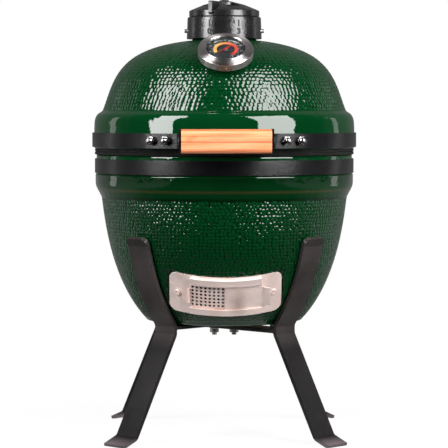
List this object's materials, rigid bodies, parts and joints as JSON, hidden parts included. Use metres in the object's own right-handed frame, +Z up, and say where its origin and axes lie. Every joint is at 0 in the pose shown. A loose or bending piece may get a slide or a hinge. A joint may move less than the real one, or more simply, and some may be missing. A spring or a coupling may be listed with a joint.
{
  "type": "ceramic kamado grill",
  "caption": "Compact egg-shaped ceramic charcoal grill with a hinged dimpled lid, rotating chimney vent, lid thermometer, sliding draft door and strap-steel leg stand.",
  "frame": {"origin": "on the ground, under the vertical axis of the bowl, midway between the handle's front face and the back of the hinge", "axes": "+Z up; -Y towards the front, where the handle, thermometer and draft door are; +X to the right as seen from the front"},
  "size_m": [0.334, 0.412, 0.5559],
  "materials": {
    "glazed_ceramic": "deep green gloss glaze over a dimpled surface",
    "refractory": "unglazed fired clay",
    "felt": "dense black heat-resistant felt",
    "band_paint": "satin black paint on steel",
    "stand_powder_coat": "matte brown-black powder coat",
    "cast_iron": "bare cast iron",
    "vent_iron": "semi-gloss black enamel on cast iron",
    "wire_steel": "bright drawn wire",
    "stainless": "cold-rolled stainless sheet, lightly brushed",
    "polished_steel": "polished stainless steel",
    "zinc_steel": "zinc-plated steel",
    "chrome": "bright nickel plate",
    "black_screw": "black oxide",
    "bamboo": "oiled bamboo with fine straight grain",
    "dial_face": "matte slate enamel",
    "glass": "clear flat glass",
    "needle_red": "red lacquer"
  },
  "bodies": {
    "base": {"base_bowl": "glazed_ceramic", "base_gasket": "felt", "base_band": "band_paint", "firebox": "refractory", "fire_ring": "refractory", "charcoal_grate": "cast_iron", "cooking_grid": "wire_steel", "draft_frame": "stainless", "draft_frame_screws": "zinc_steel", "leg_front_right": "stand_powder_coat", "leg_back_right": "stand_powder_coat", "leg_back_left": "stand_powder_coat", "leg_front_left": "stand_powder_coat", "cross_bar_upper": "stand_powder_coat", "cross_bar_lower": "stand_powder_coat", "cross_bolts": "zinc_steel", "cross_washers": "zinc_steel", "cross_nuts": "zinc_steel", "hinge_base_bracket": "band_paint", "hinge_base_bolts": "zinc_steel", "hinge_base_nuts": "zinc_steel", "hinge_pin": "zinc_steel", "hinge_pin_clip": "zinc_steel"},
    "lid": {"lid_dome": "glazed_ceramic", "lid_gasket": "felt", "lid_band": "band_paint", "handle_bar": "bamboo", "handle_bracket_left": "band_paint", "handle_bracket_right": "band_paint", "handle_bolts": "zinc_steel", "handle_nuts": "chrome", "handle_end_screws": "black_screw", "hinge_lid_bracket": "band_paint", "hinge_lid_bolts": "zinc_steel", "hinge_lid_nuts": "zinc_steel", "vent_base": "vent_iron", "vent_set_screws": "zinc_steel", "vent_disc": "vent_iron", "thermometer_case": "polished_steel", "thermometer_bezel": "polished_steel", "thermometer_dial": "dial_face", "thermometer_glass": "glass", "thermometer_stem": "polished_steel", "thermometer_nut": "zinc_steel"},
    "vent_cap": {"vent_cap": "vent_iron", "vent_pivot_bolt": "zinc_steel", "vent_cap_nut": "chrome"},
    "draft_door": {"draft_door": "stainless"},
    "draft_screen": {"draft_screen": "stainless"},
    "needle": {"thermometer_needle": "needle_red", "thermometer_spindle": "polished_steel"}
  },
  "joints": [
    {"name": "lid_hinge", "type": "hinge", "parent": "base", "child": "lid", "pos_m": [0, 0.197, 0.3573], "axis": [-1, 0, 0], "range_deg": [0, 80]},
    {"name": "vent_cap_turn", "type": "hinge", "parent": "lid", "child": "vent_cap", "pos_m": [0, 0, 0.53], "axis": [0, 0, 1], "range_deg": [0, 45]},
    {"name": "draft_door_slide", "type": "hinge", "parent": "base", "child": "draft_door", "pos_m": [0, 0, 0.2442], "axis": [0, -0.454, 0.891], "range_deg": [-8.8, 0]},
    {"name": "draft_screen_slide", "type": "hinge", "parent": "base", "child": "draft_screen", "pos_m": [0, 0, 0.2442], "axis": [0, -0.454, 0.891], "range_deg": [0, 8.8]},
    {"name": "needle_turn", "type": "hinge", "parent": "lid", "child": "needle", "pos_m": [0, -0.118, 0.475], "axis": [0, -0.5934, 0.8049], "range_deg": [-270, 0]}
  ]
}
